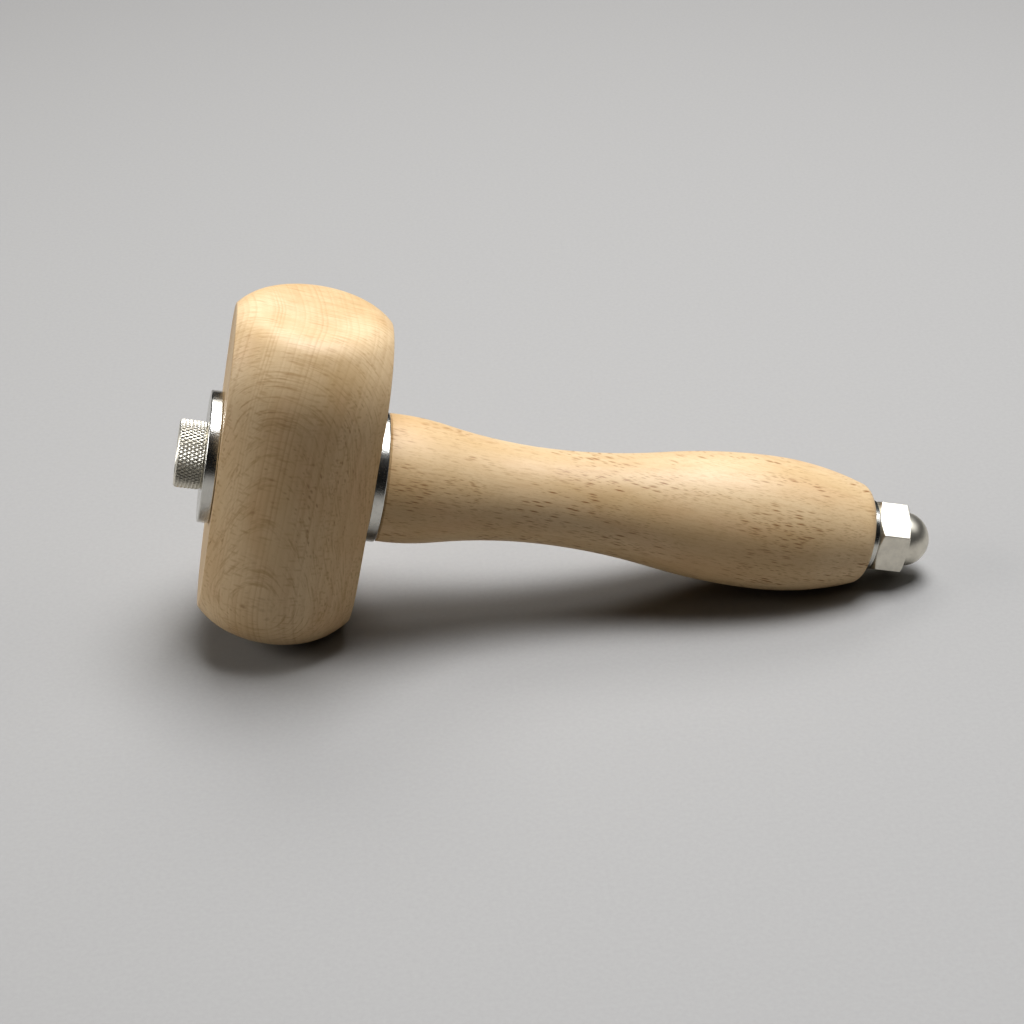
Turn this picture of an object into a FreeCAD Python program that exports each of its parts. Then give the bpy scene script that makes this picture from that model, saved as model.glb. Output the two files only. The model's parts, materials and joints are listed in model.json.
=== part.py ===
import FreeCAD, Part
import math
import os

import Sketcher
from FreeCAD import Placement, Rotation, Vector

# Draw-bolted wooden mallet.
# A turned head and a turned handle are clamped on one threaded rod that runs along the handle.
# X runs along the handle towards its butt, Z along the head, and every piece is drawn about
# its own left face on the rod's line. The pieces are stacked along X, and the whole stack is then
# tipped so that the head's lower end and the handle's swell both rest on the plane Z = 0.

# Driving sizes in millimetres: name, value, what it is.
SIZES = (
    ("head_length", 83.5, "turned head, striking face to striking face"),
    ("barrel_radius", 25.4, "turned head at its middle"),
    ("face_radius", 12.7, "flat disc of each striking face"),
    ("shoulder_radius", 26.4, "long arc from the barrel towards the face"),
    ("rim_radius", 8.5, "short arc that runs into the face"),
    ("flat_spacing", 37.0, "head across the two flats that the washers seat on"),
    ("flat_edge", 0.7, "eased edge round each flat"),
    ("rod_diameter", 10.0, "threaded rod over its thread"),
    ("rod_clearance", 0.25, "gap round the rod in wood and washers"),
    ("thread_clearance", 0.05, "gap round the rod in the two nuts"),
    ("rod_chamfer", 1.0, "chamfer at each end of the rod"),
    ("rod_recess", 0.5, "end of the rod inside the knurled nut's outer face"),
    ("rod_engagement", 8.0, "length of rod inside the cap nut"),
    ("washer_diameter", 32.0, "two large washers, one on each flat of the head"),
    ("washer_thickness", 3.0, "large washers"),
    ("washer_edge", 0.4, "rounded rim of the large washers"),
    ("butt_washer_diameter", 18.0, "small washer under the cap nut"),
    ("butt_washer_thickness", 1.6, "small washer"),
    ("butt_washer_edge", 0.25, "rounded rim of the small washer"),
    ("knurl_diameter", 16.5, "knurled nut over its knurl"),
    ("knurl_length", 6.5, "knurled nut"),
    ("knurl_chamfer", 0.5, "chamfer at each end of the knurl"),
    ("nut_flats", 17.0, "cap nut across flats"),
    ("nut_height", 7.8, "cap nut's hexagon"),
    ("nut_face_radius", 8.1, "washer face left by the chamfer on the hexagon"),
    ("nut_chamfer", 1.0, "length of that chamfer along the nut"),
    ("nut_end_radius", 9.2, "hexagon's corner at the dome after its small chamfer"),
    ("nut_end_chamfer", 0.4, "length of the small chamfer"),
    ("dome_radius", 6.9, "cap nut's dome"),
    ("dome_rise", 0.7, "centre of the dome beyond the hexagon"),
    ("nut_bore_depth", 9.5, "full-width depth of the cap nut's hole"),
    ("nut_bore_point", 2.8, "length of the drill point past that depth"),
    ("handle_length", 123.0, "turned handle, collar to butt"),
    ("collar_end_radius", 15.7, "handle at the collar, at its fullest"),
    ("collar_end_place", 2.0, "where that is, from the collar"),
    ("collar_end_share", 0.3334, "share of the fall to the waist that curves outwards"),
    ("waist_radius", 11.8, "thinnest place of the handle"),
    ("waist_place", 40.8, "where that is, from the collar"),
    ("swell_radius", 16.8, "fullest place of the grip"),
    ("swell_to_butt", 26.6, "where that is, from the butt"),
    ("swell_share", 0.4916, "share of the rise from the waist that curves outwards"),
    ("swell_back_curve", 73.9, "arc on the butt side of the swell"),
    ("butt_round", 3.4, "rounded edge round the butt"),
    ("handle_edge", 0.5, "broken edge at the collar"),
)

FULL_TURN = 360.0
SAME = 1e-6
LEFT, RIGHT = 1, 2
ORIGIN = (-1, 1)
X_AXIS, Y_AXIS = -1, -2
CENTRE = 3


def make_sheet(doc):
    """The spreadsheet that drives every sketch and feature."""
    sheet = doc.addObject("Spreadsheet::Sheet", "sizes")
    for row, (name, number, meaning) in enumerate(SIZES, start=1):
        sheet.set(f"A{row}", name)
        sheet.set(f"B{row}", str(number))
        sheet.set(f"C{row}", meaning)
        sheet.setAlias(f"B{row}", name)
    doc.recompute()
    return sheet


class Sizes:
    """The sheet's values in millimetres, read by name."""

    def __init__(self, sheet):
        self.sheet = sheet

    def __getattr__(self, name):
        return float(self.sheet.get(name))


def new_body(doc, label):
    body = doc.addObject("PartDesign::Body", label)
    body.Label = label
    return body


def datum(body, role):
    """An origin plane or axis of the body, by its role."""
    return next(item for item in body.Origin.OriginFeatures if item.Role == role)


def new_sketch(body, name, plane):
    sketch = body.newObject("Sketcher::SketchObject", name)
    sketch.AttachmentSupport = [(datum(body, plane), "")]
    sketch.MapMode = "FlatFace"
    return sketch


def bind(item, prop, words):
    """Ties a property to sheet values; each sheet word is written with a leading dot."""
    item.setExpression(prop, words.replace(".", "sizes."))


def constrain(sketch, kind, *where):
    sketch.addConstraint(Sketcher.Constraint(kind, *where))


def measure(sketch, kind, where, number, words):
    """Adds a sized constraint near its final number and ties it to the sheet."""
    index = sketch.addConstraint(Sketcher.Constraint(kind, *where, number))
    name = f"size_{index}"
    sketch.renameConstraint(index, name)
    bind(sketch, f"Constraints.{name}", words)


def at_x(sketch, edge, end, number, words):
    measure(sketch, "DistanceX", (*ORIGIN, edge, end), number, words)


def at_y(sketch, edge, end, number, words):
    measure(sketch, "DistanceY", (*ORIGIN, edge, end), number, words)


def below_axis(sketch, edge, number, words):
    """Places an arc's centre a positive distance under the X axis."""
    measure(sketch, "DistanceY", (edge, CENTRE, *ORIGIN), number, words)


def line(sketch, start, end):
    """Adds a line; returns its index with the names of its start and end points."""
    edge = sketch.addGeometry(Part.LineSegment(Vector(*start, 0), Vector(*end, 0)), False)
    return edge, LEFT, RIGHT


def arc(sketch, centre, radius, start, end, turn):
    """Adds an arc from start to end; turn is 1 for anticlockwise and -1 for clockwise."""
    angles = [math.atan2(y - centre[1], x - centre[0]) for x, y in (start, end)]
    circle = Part.Circle(Vector(*centre, 0), Vector(0, 0, 1), radius)
    if turn > 0:
        edge = sketch.addGeometry(Part.ArcOfCircle(circle, angles[0], angles[1]), False)
        return edge, LEFT, RIGHT
    edge = sketch.addGeometry(Part.ArcOfCircle(circle, angles[1], angles[0]), False)
    return edge, RIGHT, LEFT


def join(sketch, first, second, kind="Coincident"):
    """Joins the end of one edge to the start of the next."""
    constrain(sketch, kind, first[0], first[2], second[0], second[1])


def between(first, second, share):
    """The point at a share of the way from one point to another."""
    return tuple(a + (b - a) * share for a, b in zip(first, second))


def revolve(body, sketch, name, axis):
    feature = body.newObject("PartDesign::Revolution", name)
    feature.Profile = sketch
    feature.ReferenceAxis = (sketch, [axis])
    feature.Angle = FULL_TURN
    body.Tip = feature


def pad(body, sketch, words):
    feature = body.newObject("PartDesign::Pad", f"{body.Name}_pad")
    feature.Profile = sketch
    bind(feature, "Length", words)
    body.Tip = feature


def cut_through(doc, body, sketch, name):
    """A pocket through everything on both sides of its sketch."""
    whole = body.Shape.Volume
    feature = body.newObject("PartDesign::Pocket", name)
    feature.Profile = sketch
    feature.SideType = "Symmetric"
    feature.Type = "ThroughAll"
    body.Tip = feature
    finish_cut(doc, body, whole)


def finish_cut(doc, body, whole):
    """A cut that points away from the solid removes nothing and reports nothing."""
    doc.recompute()
    if body.Shape.Volume > whole - SAME:
        raise RuntimeError(f"{body.Tip.Name} removed nothing from {body.Label}")


def edges_where(shape, test):
    return [f"Edge{place}" for place, edge in enumerate(shape.Edges, start=1) if test(edge)]


def dress(doc, body, kind, test, words):
    """A fillet or chamfer on the edges of the body's tip that pass the test."""
    doc.recompute()
    base = body.Tip
    feature = body.newObject(f"PartDesign::{kind}", f"{body.Name}_{kind.lower()}")
    feature.Base = (base, edges_where(base.Shape, test))
    bind(feature, "Radius" if kind == "Fillet" else "Size", words)
    body.Tip = feature
    doc.recompute()


def round_edge(radius):
    """A test for circular edges of one radius."""
    return lambda edge: abs(getattr(edge.Curve, "Radius", 0.0) - radius) < SAME


def ring_sketch(body, outer, outer_words, inner=None, inner_words=None):
    """A circle, or two circles about one centre, across the rod's line."""
    sketch = new_sketch(body, f"{body.Name}_section", "YZ_Plane")
    for radius, words in ((outer, outer_words), (inner, inner_words)):
        if radius is None:
            continue
        edge = sketch.addGeometry(Part.Circle(Vector(0, 0, 0), Vector(0, 0, 1), radius), False)
        constrain(sketch, "Coincident", edge, CENTRE, *ORIGIN)
        measure(sketch, "Radius", (edge,), radius, words)
    return sketch


def head(doc, size):
    """Barrel turned about Z, planed to two flats across X and bored along X for the rod."""
    body = new_body(doc, "head")
    half, barrel = size.head_length / 2, size.barrel_radius
    sketch = new_sketch(body, "head_outline", "YZ_Plane")
    core = line(sketch, (0, half), (0, -half))
    side_end = shoulder_start(size)
    side = line(sketch, (barrel, -side_end), (barrel, side_end))
    constrain(sketch, "Vertical", side[0])
    constrain(sketch, "Symmetric", core[0], LEFT, core[0], RIGHT, *ORIGIN)
    at_x(sketch, side[0], LEFT, barrel, ".barrel_radius")
    for up in (1, -1):
        head_end(sketch, size, side, core, up)

    revolve(body, sketch, "head_turned", "V_Axis")
    doc.recompute()
    cut_flats(doc, body, size)
    dress(doc, body, "Fillet", on_flat(size.flat_spacing / 2), ".flat_edge")
    bore = ring_sketch(body, rod_hole(size), ROD_HOLE)
    cut_through(doc, body, bore, "head_bore")
    return body


def shoulder_start(size):
    """Height at which the straight side of the barrel meets the long arc."""
    reach = size.shoulder_radius - size.rim_radius
    inset = size.face_radius - (size.barrel_radius - size.shoulder_radius)
    return size.head_length / 2 - size.rim_radius - math.sqrt(reach**2 - inset**2)


def head_end(sketch, size, side, core, up):
    """Long arc, short arc and striking disc at the upper (1) or lower (-1) end."""
    half, barrel, face = size.head_length / 2, size.barrel_radius, size.face_radius
    reach = size.shoulder_radius - size.rim_radius
    start = (barrel, up * shoulder_start(size))
    long_centre = (barrel - size.shoulder_radius, start[1])
    short_centre = (face, up * (half - size.rim_radius))
    meet = between(long_centre, short_centre, size.shoulder_radius / reach)
    shoulder = arc(sketch, long_centre, size.shoulder_radius, start, meet, up)
    rim = arc(sketch, short_centre, size.rim_radius, meet, (face, up * half), up)
    striking = line(sketch, (face, up * half), (0, up * half))
    last, first = (side[0], RIGHT if up > 0 else LEFT), (core[0], LEFT if up > 0 else RIGHT)
    constrain(sketch, "Tangent", *last, shoulder[0], shoulder[1])
    join(sketch, shoulder, rim, "Tangent")
    join(sketch, rim, striking, "Tangent")
    constrain(sketch, "Coincident", striking[0], RIGHT, *first)
    constrain(sketch, "Horizontal", striking[0])
    measure(sketch, "Radius", (shoulder[0],), size.shoulder_radius, ".shoulder_radius")
    measure(sketch, "Radius", (rim[0],), size.rim_radius, ".rim_radius")
    at_x(sketch, striking[0], LEFT, face, ".face_radius")
    if up > 0:
        at_y(sketch, striking[0], LEFT, half, ".head_length / 2")


ROD_HOLE = ".rod_diameter / 2 + .rod_clearance"
THREAD_HOLE = ".rod_diameter / 2 + .thread_clearance"


def rod_hole(size):
    return size.rod_diameter / 2 + size.rod_clearance


def thread_hole(size):
    return size.rod_diameter / 2 + size.thread_clearance


def on_flat(place):
    """A test for edges that lie in either flat of the head."""
    def test(edge):
        box = edge.BoundBox
        return box.XLength < SAME and abs(abs(box.Center.x) - place) < SAME
    return test


def cut_flats(doc, body, size):
    """Planes both sides of the barrel off, square to the rod."""
    near, far = size.flat_spacing / 2, size.barrel_radius * 2
    sketch = new_sketch(body, "head_flats", "XY_Plane")
    for side in (1, -1):
        corners = [(side * near, -far), (side * far, -far), (side * far, far), (side * near, far)]
        sides = [line(sketch, corners[i], corners[(i + 1) % 4]) for i in range(4)]
        for place in range(4):
            join(sketch, sides[place], sides[(place + 1) % 4])
        lower, outer, upper, inner = (edge[0] for edge in sides)
        constrain(sketch, "Horizontal", lower)
        constrain(sketch, "Horizontal", upper)
        constrain(sketch, "Vertical", outer)
        constrain(sketch, "Symmetric", inner, LEFT, inner, RIGHT, X_AXIS)
        at_y(sketch, inner, LEFT, far, ".barrel_radius * 2")
        for edge, number, words in ((inner, near, ".flat_spacing / 2"), (outer, far, ".barrel_radius * 2")):
            pair = (*ORIGIN, edge, LEFT) if side > 0 else (edge, LEFT, *ORIGIN)
            measure(sketch, "DistanceX", pair, number, words)
    cut_through(doc, body, sketch, "head_flat_cuts")


COLLAR_CURVE = (
    ".collar_end_share * ((.waist_place - .collar_end_place)^2 + (.collar_end_radius - .waist_radius)^2)"
    " / (2 * (.collar_end_radius - .waist_radius))"
)
SWELL_PLACE = "(.handle_length - .swell_to_butt)"
SWELL_CURVE = (
    f".swell_share * (({SWELL_PLACE} - .waist_place)^2 + (.swell_radius - .waist_radius)^2)"
    " / (2 * (.swell_radius - .waist_radius))"
)


def swell_place(size):
    return size.handle_length - size.swell_to_butt


def level_sum(along, rise):
    """Radii, added, of two tangent arcs that are level at their far ends."""
    return (along**2 + rise**2) / (2 * rise)


def handle(doc, size):
    """Grip turned about the rod's line: a chain of tangent arcs from collar to butt."""
    body = new_body(doc, "handle")
    hole, length = rod_hole(size), size.handle_length
    full, waist, swell = size.collar_end_radius, size.waist_radius, size.swell_radius
    full_x, waist_x, swell_x = size.collar_end_place, size.waist_place, swell_place(size)

    fall_curves = level_sum(waist_x - full_x, full - waist)
    rise_curves = level_sum(swell_x - waist_x, swell - waist)
    fall_curve, front_curve = fall_curves * size.collar_end_share, rise_curves * size.swell_share
    waist_front, waist_back = fall_curves - fall_curve, rise_curves - front_curve
    back_curve = size.swell_back_curve
    fall_centre = (full_x, full - fall_curve)
    waist_front_centre = (waist_x, waist + waist_front)
    waist_back_centre = (waist_x, waist + waist_back)
    front_centre = (swell_x, swell - front_curve)
    back_centre = (swell_x, swell - back_curve)
    butt_x = length - size.butt_round
    butt_reach = back_curve - size.butt_round
    butt_centre = (butt_x, back_centre[1] + math.sqrt(butt_reach**2 - (butt_x - swell_x) ** 2))

    start = (0, fall_centre[1] + math.sqrt(fall_curve**2 - full_x**2))
    to_waist = between(fall_centre, waist_front_centre, size.collar_end_share)
    to_swell = between(front_centre, waist_back_centre, size.swell_share)
    to_butt = between(back_centre, butt_centre, back_curve / butt_reach)
    thinnest, fullest = (waist_x, waist), (swell_x, swell)
    face_edge = (length, butt_centre[1])

    sketch = new_sketch(body, "handle_outline", "XZ_Plane")
    collar_face = line(sketch, (0, hole), start)
    fall = arc(sketch, fall_centre, fall_curve, start, to_waist, -1)
    waist_in = arc(sketch, waist_front_centre, waist_front, to_waist, thinnest, 1)
    waist_out = arc(sketch, waist_back_centre, waist_back, thinnest, to_swell, 1)
    swell_in = arc(sketch, front_centre, front_curve, to_swell, fullest, -1)
    swell_out = arc(sketch, back_centre, back_curve, fullest, to_butt, -1)
    butt_edge = arc(sketch, butt_centre, size.butt_round, to_butt, face_edge, -1)
    butt_face = line(sketch, face_edge, (length, hole))
    wall = line(sketch, (length, hole), (0, hole))

    join(sketch, collar_face, fall)
    chain = (fall, waist_in, waist_out, swell_in, swell_out, butt_edge, butt_face)
    for first, second in zip(chain, chain[1:]):
        join(sketch, first, second, "Tangent")
    join(sketch, butt_face, wall)
    join(sketch, wall, collar_face)
    constrain(sketch, "PointOnObject", collar_face[0], LEFT, Y_AXIS)
    constrain(sketch, "Vertical", collar_face[0])
    constrain(sketch, "Vertical", butt_face[0])
    constrain(sketch, "Horizontal", wall[0])
    at_y(sketch, collar_face[0], LEFT, hole, ROD_HOLE)
    at_x(sketch, butt_face[0], LEFT, length, ".handle_length")

    at_x(sketch, fall[0], CENTRE, full_x, ".collar_end_place")
    below_axis(sketch, fall[0], fall_curve - full, f"{COLLAR_CURVE} - .collar_end_radius")
    measure(sketch, "Radius", (fall[0],), fall_curve, COLLAR_CURVE)
    at_x(sketch, waist_in[0], CENTRE, waist_x, ".waist_place")
    at_x(sketch, waist_in[0], waist_in[2], waist_x, ".waist_place")
    at_y(sketch, waist_in[0], waist_in[2], waist, ".waist_radius")
    at_x(sketch, swell_in[0], CENTRE, swell_x, SWELL_PLACE)
    at_x(sketch, swell_in[0], swell_in[2], swell_x, SWELL_PLACE)
    at_y(sketch, swell_in[0], swell_in[2], swell, ".swell_radius")
    measure(sketch, "Radius", (swell_in[0],), front_curve, SWELL_CURVE)
    measure(sketch, "Radius", (swell_out[0],), back_curve, ".swell_back_curve")
    measure(sketch, "Radius", (butt_edge[0],), size.butt_round, ".butt_round")

    revolve(body, sketch, "handle_turned", "H_Axis")
    dress(doc, body, "Chamfer", round_edge(start[1]), ".handle_edge")
    return body


def washer(doc, size, label, outer, outer_words, thickness_words, edge_words):
    body = new_body(doc, label)
    sketch = ring_sketch(body, outer, outer_words, rod_hole(size), ROD_HOLE)
    pad(body, sketch, thickness_words)
    dress(doc, body, "Fillet", round_edge(outer), edge_words)
    return body


def large_washer(doc, size, label):
    radius = size.washer_diameter / 2
    return washer(doc, size, label, radius, ".washer_diameter / 2", ".washer_thickness", ".washer_edge")


def butt_washer(doc, size):
    radius = size.butt_washer_diameter / 2
    words = (".butt_washer_diameter / 2", ".butt_washer_thickness", ".butt_washer_edge")
    return washer(doc, size, "butt_washer", radius, *words)


def knurled_nut(doc, size):
    """Round nut, drawn as a plain cylinder over the crests of its knurl."""
    body = new_body(doc, "knurled_nut")
    radius = size.knurl_diameter / 2
    sketch = ring_sketch(body, radius, ".knurl_diameter / 2", thread_hole(size), THREAD_HOLE)
    pad(body, sketch, ".knurl_length")
    dress(doc, body, "Chamfer", round_edge(radius), ".knurl_chamfer")
    return body


def cap_nut(doc, size):
    """Hexagon with a dome: turned first, then its six flats are milled."""
    body = new_body(doc, "cap_nut")
    hole, corner = thread_hole(size), size.nut_flats / math.sqrt(3)
    height, centre_x = size.nut_height, size.nut_height + size.dome_rise
    dome_foot = math.sqrt(size.dome_radius**2 - size.dome_rise**2)
    depth = size.nut_bore_depth
    tip, point = (centre_x + size.dome_radius, 0), (depth + size.nut_bore_point, 0)

    sketch = new_sketch(body, "cap_nut_outline", "XZ_Plane")
    face = line(sketch, (0, hole), (0, size.nut_face_radius))
    lead = line(sketch, (0, size.nut_face_radius), (size.nut_chamfer, corner))
    rim = line(sketch, (size.nut_chamfer, corner), (height - size.nut_end_chamfer, corner))
    ease = line(sketch, (height - size.nut_end_chamfer, corner), (height, size.nut_end_radius))
    ledge = line(sketch, (height, size.nut_end_radius), (height, dome_foot))
    dome = arc(sketch, (centre_x, 0), size.dome_radius, (height, dome_foot), tip, -1)
    middle = line(sketch, tip, point)
    drill = line(sketch, point, (depth, hole))
    thread = line(sketch, (depth, hole), (0, hole))
    loop = (face, lead, rim, ease, ledge, dome, middle, drill, thread)
    for first, second in zip(loop, loop[1:] + loop[:1]):
        join(sketch, first, second)
    for edge in (face, ledge):
        constrain(sketch, "Vertical", edge[0])
    for edge in (rim, thread):
        constrain(sketch, "Horizontal", edge[0])
    constrain(sketch, "PointOnObject", face[0], LEFT, Y_AXIS)
    constrain(sketch, "PointOnObject", middle[0], LEFT, X_AXIS)
    constrain(sketch, "PointOnObject", middle[0], RIGHT, X_AXIS)
    constrain(sketch, "PointOnObject", dome[0], CENTRE, X_AXIS)
    at_y(sketch, face[0], LEFT, hole, THREAD_HOLE)
    at_y(sketch, face[0], RIGHT, size.nut_face_radius, ".nut_face_radius")
    at_x(sketch, rim[0], LEFT, size.nut_chamfer, ".nut_chamfer")
    at_y(sketch, rim[0], LEFT, corner, ".nut_flats / sqrt(3)")
    at_x(sketch, rim[0], RIGHT, height - size.nut_end_chamfer, ".nut_height - .nut_end_chamfer")
    at_x(sketch, ledge[0], LEFT, height, ".nut_height")
    at_y(sketch, ledge[0], LEFT, size.nut_end_radius, ".nut_end_radius")
    at_x(sketch, dome[0], CENTRE, centre_x, ".nut_height + .dome_rise")
    measure(sketch, "Radius", (dome[0],), size.dome_radius, ".dome_radius")
    at_x(sketch, drill[0], RIGHT, depth, ".nut_bore_depth")
    at_x(sketch, drill[0], LEFT, point[0], ".nut_bore_depth + .nut_bore_point")
    revolve(body, sketch, "cap_nut_turned", "H_Axis")
    doc.recompute()
    mill_flats(doc, body, corner)
    return body


def mill_flats(doc, body, corner):
    """Cuts everything outside the hexagon, which has corners at top and bottom."""
    whole = body.Shape.Volume
    sides = 6
    step = 2 * math.pi / sides
    corners = [(corner * math.sin(step * i), corner * math.cos(step * i)) for i in range(sides)]
    sketch = new_sketch(body, "cap_nut_hexagon", "YZ_Plane")
    blank = sketch.addGeometry(Part.Circle(Vector(0, 0, 0), Vector(0, 0, 1), corner * 2), False)
    guide = sketch.addGeometry(Part.Circle(Vector(0, 0, 0), Vector(0, 0, 1), corner), True)
    for circle, words in ((blank, ".nut_flats * 2 / sqrt(3)"), (guide, ".nut_flats / sqrt(3)")):
        constrain(sketch, "Coincident", circle, CENTRE, *ORIGIN)
        measure(sketch, "Radius", (circle,), corner * (2 if circle == blank else 1), words)
    hexagon = [line(sketch, corners[i], corners[(i + 1) % sides]) for i in range(sides)]
    for place, edge in enumerate(hexagon):
        join(sketch, edge, hexagon[(place + 1) % sides])
        constrain(sketch, "PointOnObject", edge[0], LEFT, guide)
    for edge in hexagon[1:]:
        constrain(sketch, "Equal", hexagon[0][0], edge[0])
    constrain(sketch, "PointOnObject", hexagon[0][0], LEFT, Y_AXIS)
    feature = body.newObject("PartDesign::Pocket", "cap_nut_flats")
    feature.Profile = sketch
    feature.Reversed = True
    bind(feature, "Length", ".nut_height")
    body.Tip = feature
    finish_cut(doc, body, whole)


def tie_rod(doc, size):
    """Threaded rod, drawn over its thread, from the knurled nut into the cap nut."""
    body = new_body(doc, "tie_rod")
    radius = size.rod_diameter / 2
    sketch = ring_sketch(body, radius, ".rod_diameter / 2")
    spans = (".knurl_length", ".washer_thickness * 2", ".flat_spacing", ".handle_length")
    ends = ".butt_washer_thickness + .rod_engagement - .rod_recess"
    pad(body, sketch, " + ".join((*spans, ends)))
    dress(doc, body, "Chamfer", round_edge(radius), ".rod_chamfer")
    return body


def stack(size):
    """Where each piece's left face lies on the rod's line; the head's own origin is its middle."""
    head_left = -size.flat_spacing / 2
    washer_left = head_left - size.washer_thickness
    nut_left = washer_left - size.knurl_length
    collar_left = size.flat_spacing / 2
    handle_left = collar_left + size.washer_thickness
    butt_left = handle_left + size.handle_length
    return {
        "head": 0.0,
        "head_washer": washer_left,
        "knurled_nut": nut_left,
        "tie_rod": nut_left + size.rod_recess,
        "collar_washer": collar_left,
        "handle": handle_left,
        "butt_washer": butt_left,
        "cap_nut": butt_left + size.butt_washer_thickness,
    }


def tip_onto(rim, rest):
    """Tip, in degrees, that lays two circles, each (x, z, radius), on one plane below them."""
    along, up = rest[0] - rim[0], rest[1] - rim[1]
    return math.degrees(math.atan2(up, along) + math.asin((rim[2] - rest[2]) / math.hypot(along, up)))


def rest_angle(size):
    """The mallet rests on its head's lower rim and on the swell or the cap nut, whichever is lower."""
    places = stack(size)
    rim = (size.face_radius, size.rim_radius - size.head_length / 2, size.rim_radius)
    swell_x = places["handle"] + swell_place(size)
    swell = (swell_x, size.swell_back_curve - size.swell_radius, size.swell_back_curve)
    nut_x = places["cap_nut"] + size.nut_height - size.nut_end_chamfer
    nut_corner = (nut_x, -size.nut_flats / math.sqrt(3), 0.0)
    return min(tip_onto(rim, swell), tip_onto(rim, nut_corner))


def set_down(bodies, size):
    """Places the stack at rest, with the origin under the middle of its box."""
    places = stack(size)
    tip = Rotation(Vector(0, 1, 0), rest_angle(size))
    for label, body in bodies.items():
        body.Placement = Placement(tip.multVec(Vector(places[label], 0, 0)), tip)
    box = Part.makeCompound([body.Shape for body in bodies.values()]).optimalBoundingBox(False)
    shift = Vector(-box.Center.x, -box.Center.y, -box.ZMin)
    for body in bodies.values():
        body.Placement = Placement(body.Placement.Base + shift, body.Placement.Rotation)


def check(doc, bodies):
    """Stops before anything is written if an object failed or a shape isn't sound."""
    for item in doc.Objects:
        if "Invalid" in item.State or "Error" in item.State:
            raise RuntimeError(f"{item.Name} failed: {item.State}")
    for label, body in bodies.items():
        if body.Shape.isNull() or not body.Shape.isValid() or len(body.Shape.Solids) != 1:
            raise RuntimeError(f"{label} isn't one sound solid")


def main():
    doc = FreeCAD.newDocument("mallet")
    size = Sizes(make_sheet(doc))
    made = (
        head(doc, size),
        large_washer(doc, size, "head_washer"),
        large_washer(doc, size, "collar_washer"),
        knurled_nut(doc, size),
        tie_rod(doc, size),
        handle(doc, size),
        butt_washer(doc, size),
        cap_nut(doc, size),
    )
    bodies = {body.Label: body for body in made}
    doc.recompute()
    set_down(bodies, size)
    doc.recompute()
    check(doc, bodies)
    os.makedirs("parts", exist_ok=True)
    for label, body in bodies.items():
        body.Shape.exportStep(f"parts/{label}.step")
        print(f"{label}: {body.Shape.Volume:.1f} mm3")


main()
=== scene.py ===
import json
import math

import bmesh
import bpy
from mathutils import Matrix, Vector


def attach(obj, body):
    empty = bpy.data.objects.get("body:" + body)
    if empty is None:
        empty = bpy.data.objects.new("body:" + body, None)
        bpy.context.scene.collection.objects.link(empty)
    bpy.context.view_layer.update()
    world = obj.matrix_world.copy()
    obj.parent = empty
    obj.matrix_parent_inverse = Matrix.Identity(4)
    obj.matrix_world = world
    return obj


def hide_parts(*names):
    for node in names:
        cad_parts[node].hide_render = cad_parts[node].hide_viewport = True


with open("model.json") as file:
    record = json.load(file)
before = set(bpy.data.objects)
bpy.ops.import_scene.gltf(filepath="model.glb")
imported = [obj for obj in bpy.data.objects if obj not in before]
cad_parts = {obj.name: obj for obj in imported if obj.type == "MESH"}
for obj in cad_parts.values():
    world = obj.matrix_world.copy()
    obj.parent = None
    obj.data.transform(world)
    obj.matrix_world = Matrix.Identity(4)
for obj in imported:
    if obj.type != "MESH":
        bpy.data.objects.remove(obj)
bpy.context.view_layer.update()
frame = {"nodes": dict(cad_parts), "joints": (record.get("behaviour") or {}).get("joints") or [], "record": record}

# A wooden mallet: a turned beech head and handle and steel washers, all clamped on one threaded rod
# between a knurled nut on the head and a domed cap nut at the butt.
# Sizes are in mm in the mallet's own axes, and become metres where a point is made.

MM = 0.001
TURN = 2 * math.pi

# The mallet's own axes: X along the handle to the butt, Z along the head, origin in the head's middle.
mounts = {mount["name"]: Vector(mount["pos_m"]) for mount in frame["record"]["mounts"]}
joints = {joint["name"]: joint for joint in frame["joints"]}
CENTRE = (mounts["lower_striking_face"] + mounts["upper_striking_face"]) / 2
ALONG = Vector(joints["cap_nut_turn"]["axis"]).normalized()
UP = (mounts["upper_striking_face"] - mounts["lower_striking_face"]).normalized()
AXES = Matrix((ALONG, UP.cross(ALONG), UP)).transposed()
LOCAL = Matrix.Translation(CENTRE) @ AXES.to_4x4()


def along(joint):
    """Where a joint's point lies along the handle, in mm from the head's middle."""
    return (Vector(joints[joint]["pos_m"]) - CENTRE).dot(ALONG) / MM


# The metal pieces that replace plain CAD nodes.
ROD_RADIUS, ROD_CHAMFER, THREAD_HOLE = 5.0, 1.0, 5.05
PITCH, THREAD_DEPTH = 1.5, 0.92
KNURL_RADIUS, KNURL_LENGTH, KNURL_CHAMFER = 8.25, 6.5, 0.5
KNURL_DEPTH, KNURL_COUNT, KNURL_STEP = 0.34, 54, 1.8     # step: one diamond's length along the nut
NUT_APOTHEM, NUT_HEIGHT, DOME_RADIUS, DOME_RISE = 8.5, 7.8, 6.9, 0.7
NUT_CORNER = NUT_APOTHEM / math.cos(TURN / 12)
NUT_FACE_RADIUS, NUT_CHAMFER = 8.1, 1.0
NUT_END_RADIUS, NUT_END_CHAMFER = 9.2, 0.4
NUT_BORE, NUT_POINT = 9.5, 2.8
ROD_RECESS, ROD_ENGAGEMENT = 0.5, 8.0
KNURL_LEFT = along("knurled_nut_turn") - KNURL_LENGTH / 2
NUT_LEFT = along("cap_nut_turn") - NUT_HEIGHT / 2
ROD_LEFT, ROD_RIGHT = KNURL_LEFT + ROD_RECESS, NUT_LEFT + ROD_ENGAGEMENT


# ---------------------------------------------------------------- shapes

def smooth_min(a, b, blend):
    """The smaller of two radii, with the corner between them rounded off."""
    near = max(blend - abs(a - b), 0.0) / blend
    return min(a, b) - near * near * blend / 4


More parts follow.
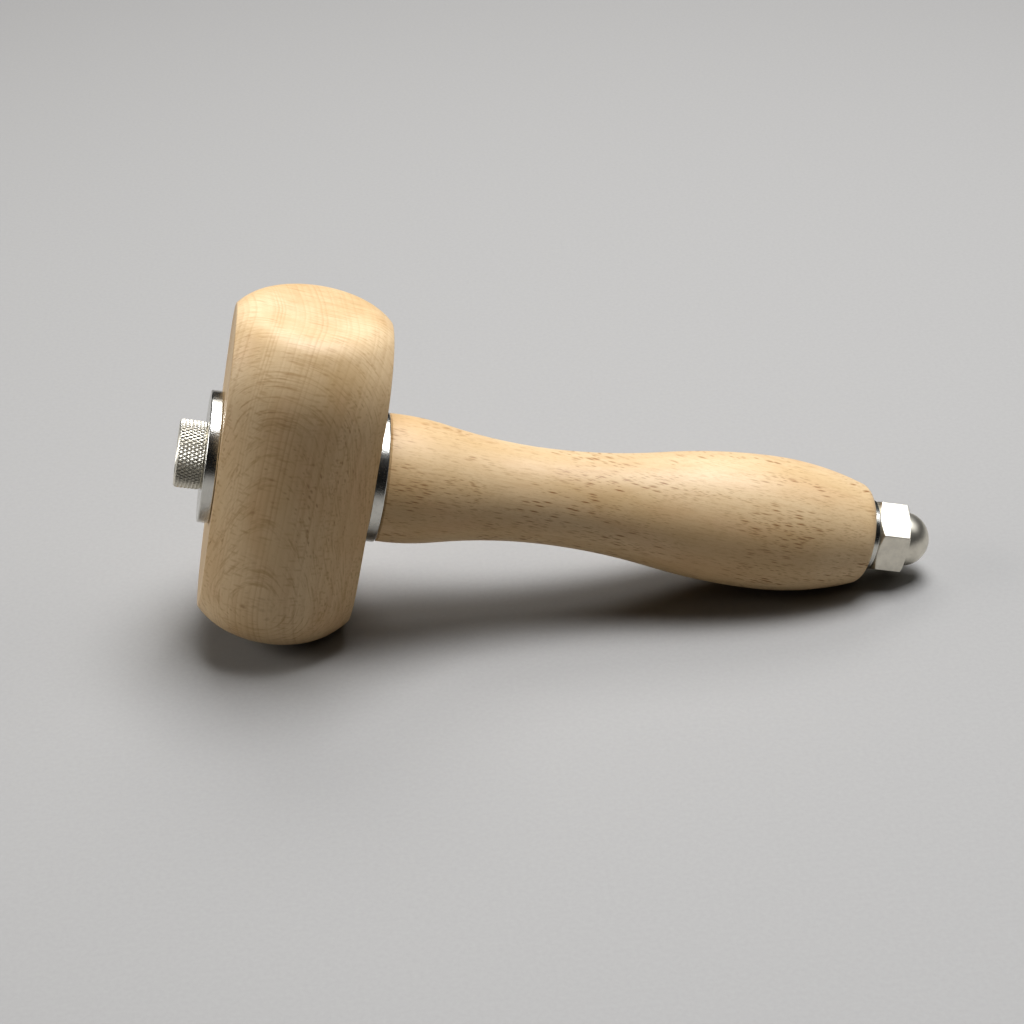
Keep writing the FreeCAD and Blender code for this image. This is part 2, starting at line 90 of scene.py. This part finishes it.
def spread(start, end, steps):
    """Evenly spaced values from start to end, both included."""
    return [start + (end - start) * i / steps for i in range(steps + 1)]


def skin(name, rows, angles, point, sharp=40):
    """A closed mesh over rows of points round the rod's line; point(row, angle) gives (x, radius)."""
    weld = 1e-7
    mesh = bmesh.new()
    grid = []
    for row in rows:
        ring = []
        for angle in angles:
            x, radius = point(row, angle)
            place = Vector((x, radius * math.sin(angle), radius * math.cos(angle))) * MM
            ring.append(mesh.verts.new(LOCAL @ place))
        grid.append(ring)
    for near, far in zip(grid, grid[1:]):
        for i in range(len(angles) - 1):
            mesh.faces.new((near[i], near[i + 1], far[i + 1], far[i]))
    bmesh.ops.remove_doubles(mesh, verts=mesh.verts, dist=weld)
    bmesh.ops.dissolve_degenerate(mesh, edges=mesh.edges, dist=weld)
    bmesh.ops.recalc_face_normals(mesh, faces=mesh.faces)
    data = bpy.data.meshes.new(name)
    mesh.to_mesh(data)
    mesh.free()
    data.shade_smooth()
    data.set_sharp_from_angle(angle=math.radians(sharp))
    piece = bpy.data.objects.new(name, data)
    bpy.context.scene.collection.objects.link(piece)
    return piece


def full_circle(steps):
    return spread(0.0, TURN, steps)


def knurl_radius(x, angle):
    """Pyramids between two crossing sets of V grooves, with their points worn flat."""
    wear = 1.25
    turned = KNURL_COUNT * angle / TURN
    height = 1.0
    for groove in (turned + x / KNURL_STEP, turned - x / KNURL_STEP):
        height = min(height, 2 * abs(groove - round(groove)))
    return KNURL_RADIUS - KNURL_DEPTH * (1 - min(height * wear, 1.0))


def knurled_nut():
    """Round nut; rows with no radius of their own take the knurl's."""
    mouth, rim, step, points_per_diamond = 0.35, 6.6, 0.1, 6
    bore = [(KNURL_LENGTH, THREAD_HOLE), (mouth, THREAD_HOLE), (0.0, THREAD_HOLE + mouth), (0.0, rim)]
    knurl = [(x, None) for x in spread(0.0, KNURL_LENGTH, round(KNURL_LENGTH / step))]
    rows = bore + knurl + [(KNURL_LENGTH, THREAD_HOLE)]

    def point(row, angle):
        x, radius = row
        if radius is None:
            edge = KNURL_RADIUS - KNURL_CHAMFER + min(x, KNURL_LENGTH - x)
            radius = min(knurl_radius(x, angle), edge)
        return KNURL_LEFT + x, radius
    angles = full_circle(KNURL_COUNT * points_per_diamond)
    return skin("knurled_nut_knurl", rows, angles, point, sharp=25)


def hexagon_radius(x, angle):
    """The hexagon with rounded edges, cut back by a turned chamfer at each end."""
    edge, corner_edge = 0.16, 0.1
    lead_slope = (NUT_CORNER - NUT_FACE_RADIUS) / NUT_CHAMFER
    end_slope = (NUT_CORNER - NUT_END_RADIUS) / NUT_END_CHAMFER
    turn = math.degrees(angle) % 60 - 30
    this = NUT_APOTHEM / math.cos(math.radians(turn))
    other = NUT_APOTHEM / math.cos(math.radians(60 - abs(turn)))
    radius = smooth_min(this, other, edge)
    radius = smooth_min(radius, NUT_FACE_RADIUS + lead_slope * x, corner_edge)
    return smooth_min(radius, NUT_END_RADIUS + end_slope * (NUT_HEIGHT - x), corner_edge)


def cap_nut():
    """Hexagon and dome; rows with no radius of their own take the hexagon's."""
    mouth, ledge_edge, fillet, fillet_turn, dome_steps = 0.3, 8.3, 0.25, 0.03, 24
    dome_foot = math.sqrt(DOME_RADIUS**2 - DOME_RISE**2)
    dome_start = math.acos(-DOME_RISE / DOME_RADIUS) - fillet_turn
    bore = [(NUT_BORE + NUT_POINT, 0.0), (NUT_BORE, THREAD_HOLE), (mouth, THREAD_HOLE)]
    bore += [(0.0, THREAD_HOLE + mouth), (0.0, NUT_FACE_RADIUS - 0.1)]
    # Rows crowd where the chamfers cross the hexagon's corners.
    lead = [0.0, 0.04, 0.1, 0.16, 0.22, 0.28, 0.36, 0.45, 0.55, 0.65, 0.75, 0.85, 0.95, 1.05, 1.2]
    end = [7.2, 7.34, 7.42, 7.5, 7.6, 7.7, 7.76, NUT_HEIGHT]
    hexagon = [(x, None) for x in lead + [2.5, 4.0, 5.5, 6.8] + end]
    ledge = [(NUT_HEIGHT, ledge_edge), (NUT_HEIGHT, dome_foot + fillet)]
    ledge.append((NUT_HEIGHT + 0.08, dome_foot + 0.08))
    dome = []
    for turn in spread(dome_start, 0.0, dome_steps):
        x = NUT_HEIGHT + DOME_RISE + DOME_RADIUS * math.cos(turn)
        dome.append((x, DOME_RADIUS * math.sin(turn)))
    rows = bore + hexagon + ledge + dome

    # Degrees from the middle of a side, crowded at its two corners.
    sector = [-30, -29.6, -29.1, -28.4, -27, -24, -18, -9, 0, 9, 18, 24, 27, 28.4, 29.1, 29.6]
    angles = [math.radians(60 * side + 30 + turn) for side in range(6) for turn in sector]
    angles.append(TURN)

    def point(row, angle):
        x, radius = row
        if radius is None:
            radius = hexagon_radius(x, angle)
        return NUT_LEFT + x, radius
    return skin("cap_nut_domed", rows, angles, point, sharp=50)


def tie_rod():
    """Right-hand thread with flat crests and roots, chamfered at both ends."""
    root, angle_steps = ROD_RADIUS - THREAD_DEPTH, 40
    profile = ((0.0, ROD_RADIUS), (1 / 8, ROD_RADIUS), (7 / 16, root), (11 / 16, root))     # in pitches
    turns = math.ceil((ROD_RIGHT - ROD_LEFT) / PITCH) + 2
    rows = [(0.0, 0.0)]
    rows += [((turn + part) * PITCH, radius) for turn in range(turns) for part, radius in profile]
    rows += [(turns * PITCH + PITCH, 0.0)]
    end_radius = ROD_RADIUS - ROD_CHAMFER

    def point(row, angle):
        x = ROD_LEFT + row[0] - PITCH * angle / TURN
        x = min(max(x, ROD_LEFT), ROD_RIGHT)
        if row[1] == 0.0:
            return (ROD_LEFT if row[0] == 0.0 else ROD_RIGHT), 0.0
        return x, min(row[1], end_radius + min(x - ROD_LEFT, ROD_RIGHT - x))
    return skin("tie_rod_threaded", rows, full_circle(angle_steps), point, sharp=30)


# ---------------------------------------------------------------- materials

class Nodes:
    """Builds one material's node tree."""

    def __init__(self, name):
        self.material = bpy.data.materials.new(name)
        self.material.use_nodes = True
        self.tree = self.material.node_tree
        self.shader = self.tree.nodes["Principled BSDF"]

    def add(self, kind, sockets=None, **settings):
        node = self.tree.nodes.new("ShaderNode" + kind)
        for key, value in settings.items():
            setattr(node, key, value)
        for key, value in (sockets or {}).items():
            self.feed(node.inputs[key], value)
        return node

    def feed(self, socket, value):
        if isinstance(value, bpy.types.NodeSocket):
            self.tree.links.new(value, socket)
        else:
            socket.default_value = value

    def math(self, operation, a, b=0.0, clamp=False):
        return self.add("Math", {0: a, 1: b}, operation=operation, use_clamp=clamp).outputs[0]

    def vector(self, operation, a, b=(0.0, 0.0, 0.0)):
        return self.add("VectorMath", {0: a, 1: b}, operation=operation).outputs[0]

    def times(self, a, b):
        return self.math("MULTIPLY", a, b)

    def plus(self, a, b):
        return self.math("ADD", a, b)

    def noise(self, place, scale, detail=2.0, rough=0.5, colour=False):
        sockets = {"Vector": place, "Scale": scale, "Detail": detail, "Roughness": rough}
        return self.add("TexNoise", sockets).outputs["Color" if colour else 0]

    def stretched(self, place, stretch):
        return self.vector("MULTIPLY", place, stretch)

    def step(self, value, low, high, start=0.0, end=1.0):
        """Goes smoothly from start to end as value goes from low to high."""
        sockets = {"Value": value, "From Min": low, "From Max": high, "To Min": start, "To Max": end}
        return self.add("MapRange", sockets, interpolation_type="SMOOTHSTEP").outputs[0]

    def mix(self, share, a, b, blend="MIX"):
        node = self.add("Mix", {0: share, 6: a, 7: b}, data_type="RGBA", blend_type=blend)
        return node.outputs[2]

    def place(self, rotation, offset=(0.0, 0.0, 0.0)):
        """Object coordinates in mm from the head's middle, turned by a 3x3 rotation."""
        turned = rotation @ AXES.transposed()
        location = Vector(offset) - turned @ CENTRE / MM
        source = self.add("TexCoord").outputs["Object"]
        sockets = {
            "Vector": source,
            "Location": location,
            "Rotation": turned.to_euler("XYZ"),
            "Scale": (1 / MM,) * 3,
        }
        return self.add("Mapping", sockets, vector_type="POINT").outputs[0]

    def split(self, vector):
        return self.add("SeparateXYZ", {0: vector}).outputs

    def join(self, x, y, z):
        return self.add("CombineXYZ", {0: x, 1: y, 2: z}).outputs[0]

    def bump(self, height, distance, strength=1.0):
        """A bumped normal; distance is in metres."""
        return self.add("Bump", {"Height": height, "Distance": distance, "Strength": strength}).outputs[0]

    def surface(self, **sockets):
        """Feeds the shader; a socket's name is written with underscores."""
        for key, value in sockets.items():
            self.feed(self.shader.inputs[key.replace("_", " ")], value)
        return self.material


def rgb(red, green, blue):
    """An sRGB colour, 0 to 255, as a linear one."""
    linear = []
    for part in (red, green, blue):
        share = part / 255
        linear.append(share / 12.92 if share <= 0.04045 else ((share + 0.055) / 1.055) ** 2.4)
    return (*linear, 1.0)


PALE_WOOD, DEEPER_WOOD, PINK_WOOD = rgb(221, 195, 156), rgb(207, 177, 133), rgb(212, 174, 134)
LATE_WOOD, STREAK, PORE, RAY = rgb(170, 126, 78), rgb(176, 138, 90), rgb(150, 110, 66), rgb(142, 96, 50)


def length_of(n, a, b):
    """The length of the vector with the two given sides."""
    return n.math("SQRT", n.plus(n.math("POWER", a, 2.0), n.math("POWER", b, 2.0)))


def rays(n, place, size, shift, core, edge):
    """Blobs of about the given size, one per cell of a jittered grid, each with its own strength."""
    scaled = n.stretched(n.vector("ADD", place, shift), tuple(1 / s for s in size))
    cell = n.add("TexVoronoi", {"Vector": scaled, "Scale": 1.0, "Randomness": 1.0})
    blob = n.step(cell.outputs["Distance"], core, edge, 1.0, 0.0)
    own = n.split(cell.outputs["Color"])[0]
    return n.times(blob, n.step(own, 0.1, 0.8))


def growth_rings(n, u, v, pith, gap, latewood):
    """Latewood's share of the colour: one soft line a year, some of them hardly there."""
    depth = length_of(n, n.plus(u, pith), v)
    uneven = n.noise(n.join(depth, 0.0, 0.0), 0.21, 2.0)
    year = n.math("DIVIDE", n.plus(depth, n.times(uneven, 9.0)), gap)
    part = n.math("FRACT", year)
    late = n.times(n.step(part, 0.25, 0.9), n.step(part, 0.9, 1.0, 1.0, 0.0))
    tone = n.noise(n.join(n.math("FLOOR", year), 0.0, 0.0), 1.7, 0.0)
    return late, n.step(tone, 0.25, 0.75, latewood * 0.15, latewood)


def beech(name, rings, grain, pith, ring_gap, offset, fleck, ribbon, latewood, streaks):
    """Beech in the round: growth rings about a far pith, and rays as thin sheets out from it.

    rings points out from the pith and grain along the fibres, in the mallet's axes. The grain's own
    axes are u out from the pith, v round it and w along the fibres, so every cut shows what it should:
    short flecks where v is in the surface, ribbons where v faces out, and fine lines along the grain.
    """
    n = Nodes(name)
    grain = Vector(grain).normalized()
    around = grain.cross(Vector(rings)).normalized()
    outward = around.cross(grain)
    place = n.place(Matrix((outward, around, grain)), offset)

    drift = n.noise(n.stretched(place, (1, 1, 0.35)), 0.035, 2.0, colour=True)
    drift = n.vector("MULTIPLY", n.vector("SUBTRACT", drift, (0.5, 0.5, 0.5)), (3.0, 1.2, 3.0))
    place = n.vector("ADD", place, drift)
    u, v = n.split(place)[:2]
    late, late_strength = growth_rings(n, u, v, pith, ring_gap, latewood)

    # Fine structure, long along the fibres, and sheets that are thin round the pith.
    fine = n.noise(n.stretched(place, (1, 1, 0.05)), 3.1, 3.0, 0.6)
    pores = n.noise(n.stretched(place, (1, 1, 0.16)), 6.5, 1.0, 0.5)
    sheets = n.noise(n.stretched(place, (0.06, 2.6, 0.12)), 1.0, 3.0, 0.75)
    # Slow changes over a centimetre or more.
    patches = n.noise(n.stretched(place, (1, 1, 0.5)), 0.09, 2.0, 0.5)
    cloud = n.noise(n.stretched(place, (1, 1, 0.4)), 0.06, 3.0, 0.55)
    tint = n.noise(n.stretched(place, (1, 1, 0.3)), 0.11, 2.0, 0.5)

    core, edge = fleck["core"], fleck["edge"]
    flecks = rays(n, place, fleck["cell"], (3.1, 0.7, 1.9), core, edge)
    small_cell = tuple(side * 0.55 for side in fleck["cell"])
    small = rays(n, place, small_cell, (11.3, 5.7, 2.9), core, edge)
    ribbons = rays(n, place, ribbon["cell"], (7.7, 1.3, 4.1), 0.1, 0.5)
    dark = n.math("MAXIMUM", flecks, n.times(small, 0.8))
    dark = n.times(dark, n.step(patches, 0.38, 0.58, 0.25, 1.0))
    late_share = n.times(n.times(late, n.step(patches, 0.35, 0.65, 0.45, 1.0)), late_strength)

    colour = n.mix(n.step(cloud, 0.3, 0.7), PALE_WOOD, DEEPER_WOOD)
    layers = (
        (n.times(n.step(tint, 0.45, 0.75), 0.3), PINK_WOOD),
        (late_share, LATE_WOOD),
        (n.times(n.step(fine, 0.45, 0.75), streaks), STREAK),
        (n.times(n.step(pores, 0.6, 0.8), streaks * 1.3), PORE),
        (n.times(n.step(sheets, 0.5, 0.72), ribbon["sheets"]), ribbon["colour"]),
        (n.times(ribbons, ribbon["strength"]), ribbon["colour"]),
        (n.times(dark, fleck["strength"]), RAY),
    )
    for share, layer in layers:
        colour = n.mix(share, colour, layer)

    height = n.math("SUBTRACT", n.times(fine, 0.6), n.times(dark, 0.5))
    normal = n.bump(n.plus(height, n.times(pores, 0.3)), 0.00002, 0.6)
    rough = n.plus(n.times(fine, 0.16), 0.4)
    return n.surface(Base_Color=colour, Roughness=rough, Normal=normal, Specular_IOR_Level=0.4)


def plated(name, colour, roughness, marks=0.0, lathe=0.0):
    """Bright metal with fine scratches (marks) and turned rings about the rod's line (lathe)."""
    n = Nodes(name)
    place = n.place(Matrix.Identity(3))
    x, y, z = n.split(place)
    angle = n.math("ARCTAN2", y, z)
    rings = n.noise(n.join(length_of(n, y, z), x, n.times(angle, 0.3)), 9.0, 2.0, 0.7)
    scratch = n.noise(n.join(n.times(x, 3.0), n.times(y, 0.7), z), 3.0, 3.0, 0.7)
    soft = n.noise(place, 0.35, 3.0, 0.6)
    height = n.plus(n.times(rings, lathe), n.times(scratch, marks))
    normal = n.bump(n.plus(height, n.times(soft, 0.4)), 0.00001)
    darker = tuple(part * 0.88 for part in colour[:3]) + (1.0,)
    tone = n.mix(n.step(soft, 0.35, 0.7), colour, darker)
    rough = n.plus(n.times(n.step(soft, 0.3, 0.7), 0.05), roughness)
    rough = n.plus(rough, n.times(n.step(scratch, 0.5, 0.8), 0.1))
    return n.surface(Base_Color=tone, Metallic=1.0, Roughness=rough, Normal=normal)


def floor_material():
    """Pale matt sheet with a fine even grain."""
    n = Nodes("pale_floor")
    place = n.add("TexCoord").outputs["Object"]
    grain = n.noise(place, 900.0, 2.0, 0.6)
    colour = n.mix(grain, rgb(154, 152, 149), rgb(162, 160, 157))
    return n.surface(Base_Color=colour, Roughness=0.62, Specular_IOR_Level=0.3)


# ---------------------------------------------------------------- build

def finish_piece(piece, body, node, material):
    """A piece rides on its body and takes the place of its CAD node."""
    piece.data.materials.append(material)
    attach(piece, body)
    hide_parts(node)


def dress(node, material):
    """Gives a CAD node that stays in view its own material."""
    piece = frame["nodes"][node]
    if not piece.material_slots:
        piece.data.materials.append(material)
    for slot in piece.material_slots:
        slot.material = material


NICKEL = rgb(230, 225, 212)
STEEL = rgb(214, 212, 205)
# A cell is a ray's depth out from the pith, its thickness and its height along the grain.
# core and edge are shares of the cell at which the blob's colour starts to fade and is gone.
SHORT_FLECK = {"cell": (6.0, 0.55, 3.9), "core": 0.1, "edge": 0.44, "strength": 0.9}
FAINT_FLECK = {"cell": (6.0, 0.5, 2.6), "core": 0.06, "edge": 0.34, "strength": 0.5}
LONG_RIBBON = {"cell": (7.0, 0.9, 0.9), "strength": 0.34, "colour": rgb(168, 130, 82), "sheets": 0.5}
FAINT_RIBBON = {"cell": (9.0, 0.9, 1.6), "strength": 0.12, "colour": rgb(176, 138, 92), "sheets": 0.26}

head_wood = beech(
    "beech_head", rings=(0.97, -0.23, 0.0), grain=(-0.03, -0.15, 0.99), pith=55.0, ring_gap=1.6,
    offset=(4.0, 9.0, 2.0), fleck=FAINT_FLECK, ribbon=LONG_RIBBON, latewood=0.36, streaks=0.09,
)
handle_wood = beech(
    "beech_handle", rings=(0.0, -0.94, 0.34), grain=(0.995, -0.03, -0.08), pith=32.0, ring_gap=2.2,
    offset=(21.0, 3.0, 0.0), fleck=SHORT_FLECK, ribbon=FAINT_RIBBON, latewood=0.16, streaks=0.2,
)
dress("head", head_wood)
dress("handle", handle_wood)
washer_steel = plated("washer_steel", STEEL, 0.2, marks=0.8, lathe=1.2)
for node in ("head_washer", "collar_washer", "butt_washer"):
    dress(node, washer_steel)

knurl_nickel = plated("nickel_knurl", NICKEL, 0.36)
nut_nickel = plated("nickel_nut", NICKEL, 0.36, marks=0.5)
thread_steel = plated("rod_steel", STEEL, 0.32, marks=0.5)
finish_piece(knurled_nut(), "knurled_nut", "knurled_nut", knurl_nickel)
finish_piece(cap_nut(), "cap_nut", "cap_nut", nut_nickel)
finish_piece(tie_rod(), "mallet", "tie_rod", thread_steel)


# ---------------------------------------------------------------- stage, light and camera

LIGHT_TARGET, LIGHT_DISTANCE = Vector((0.0, 0.0, 0.03)), 1.1


def direction(azimuth, elevation):
    """Points away from the mallet; azimuth 0 is the camera's side and 90 the butt's, in degrees."""
    turn, rise = math.radians(azimuth), math.radians(elevation)
    return Vector((math.sin(turn) * math.cos(rise), -math.cos(turn) * math.cos(rise), math.sin(rise)))


def area_light(name, azimuth, elevation, size, power, colour=(1.0, 1.0, 1.0)):
    """A soft light aimed at the mallet's middle; its sides are in metres and its power in watts."""
    light = bpy.data.lights.new(name, "AREA")
    light.shape = "RECTANGLE"
    light.size, light.size_y = size
    light.energy = power
    light.color = colour
    lamp = bpy.data.objects.new(name, light)
    bpy.context.scene.collection.objects.link(lamp)
    back = direction(azimuth, elevation)
    lamp.location = LIGHT_TARGET + back * LIGHT_DISTANCE
    lamp.rotation_euler = (-back).to_track_quat("-Z", "Y").to_euler()


def studio_dark():
    """The little light that comes from outside the lamps."""
    world = bpy.data.worlds.new("studio")
    world.use_nodes = True
    background = world.node_tree.nodes["Background"]
    background.inputs["Color"].default_value = (0.8, 0.82, 0.85, 1.0)
    background.inputs["Strength"].default_value = 0.012
    bpy.context.scene.world = world


def make_floor():
    size = 4.0
    mesh = bpy.data.meshes.new("floor")
    corners = [(-size, -size, 0), (size, -size, 0), (size, size, 0), (-size, size, 0)]
    mesh.from_pydata(corners, [], [(0, 1, 2, 3)])
    floor = bpy.data.objects.new("floor", mesh)
    floor.data.materials.append(floor_material())
    bpy.context.scene.collection.objects.link(floor)


def make_camera(target, distance, azimuth, elevation, roll, lens):
    """Looks at a target in metres; the lens is in mm and angles are in degrees."""
    back = direction(azimuth, elevation)
    camera = bpy.data.objects.new("camera", bpy.data.cameras.new("camera"))
    camera.data.lens = lens
    camera.data.clip_start = 0.01
    camera.location = Vector(target) + back * distance
    level = back.to_track_quat("Z", "Y").to_matrix()
    camera.rotation_euler = (level @ Matrix.Rotation(math.radians(roll), 3, "Z")).to_euler()
    bpy.context.scene.collection.objects.link(camera)
    bpy.context.scene.camera = camera


make_floor()
area_light("key", 128, 78, (0.6, 0.6), 14.6, (0.98, 1.0, 1.045))
area_light("back", 180, 50, (0.7, 0.4), 3.2)
area_light("left", 270, 25, (0.5, 0.5), 4.0)
area_light("right", 90, 45, (0.5, 0.5), 1.0)
studio_dark()
bpy.context.scene.view_settings.view_transform = "Standard"
bpy.context.scene.view_settings.look = "Medium High Contrast"
make_camera(
    target=(-0.01226, -0.00702, 0.03056), distance=0.5587,
    azimuth=-3.818, elevation=30.774, roll=-2.239, lens=80.715,
)
